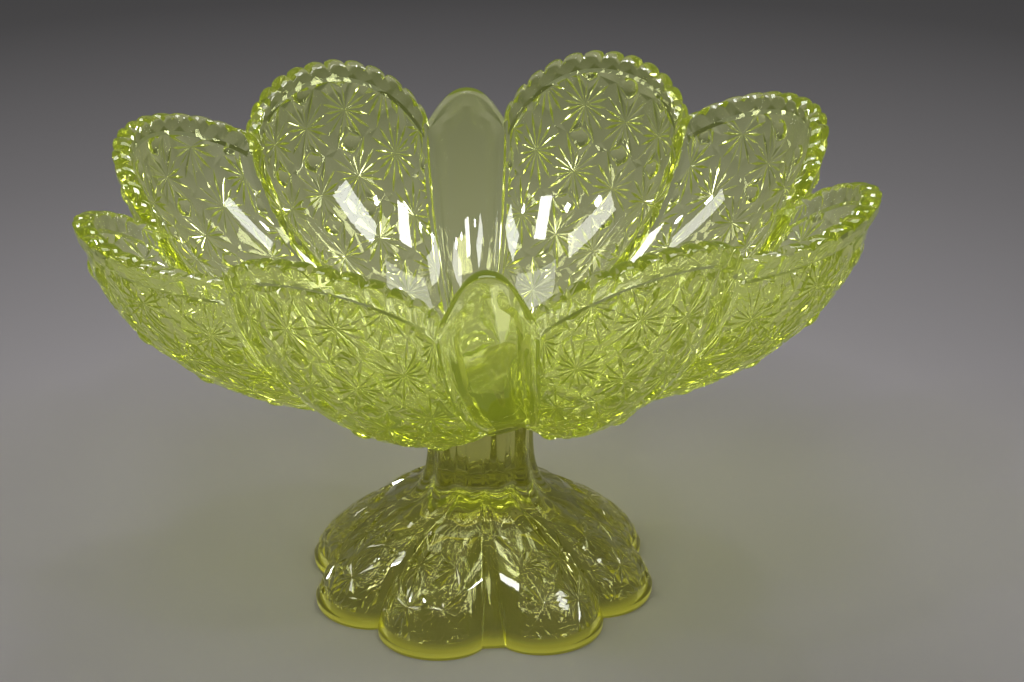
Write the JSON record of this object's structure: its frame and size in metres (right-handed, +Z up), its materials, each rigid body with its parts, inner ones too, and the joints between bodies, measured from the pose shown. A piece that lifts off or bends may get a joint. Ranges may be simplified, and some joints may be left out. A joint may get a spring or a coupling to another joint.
{
  "type": "footed glass dish",
  "caption": "Oval pressed-glass bowl with scalloped petals and plain front and back panels, on a short stem and a hollow lobed foot.",
  "frame": {"origin": "centre of the footprint, on the surface the foot stands on", "axes": "+Z up through the stem; -Y is the front plain panel; +X along the bowl's length, to the right seen from the front"},
  "size_m": [0.2142, 0.1782, 0.134],
  "materials": {
    "uranium_glass": "fire-polished, transparent yellow-green"
  },
  "bodies": {
    "root": {"bowl": "uranium_glass", "joining_wafer": "uranium_glass", "pedestal": "uranium_glass"}
  },
  "joints": []
}
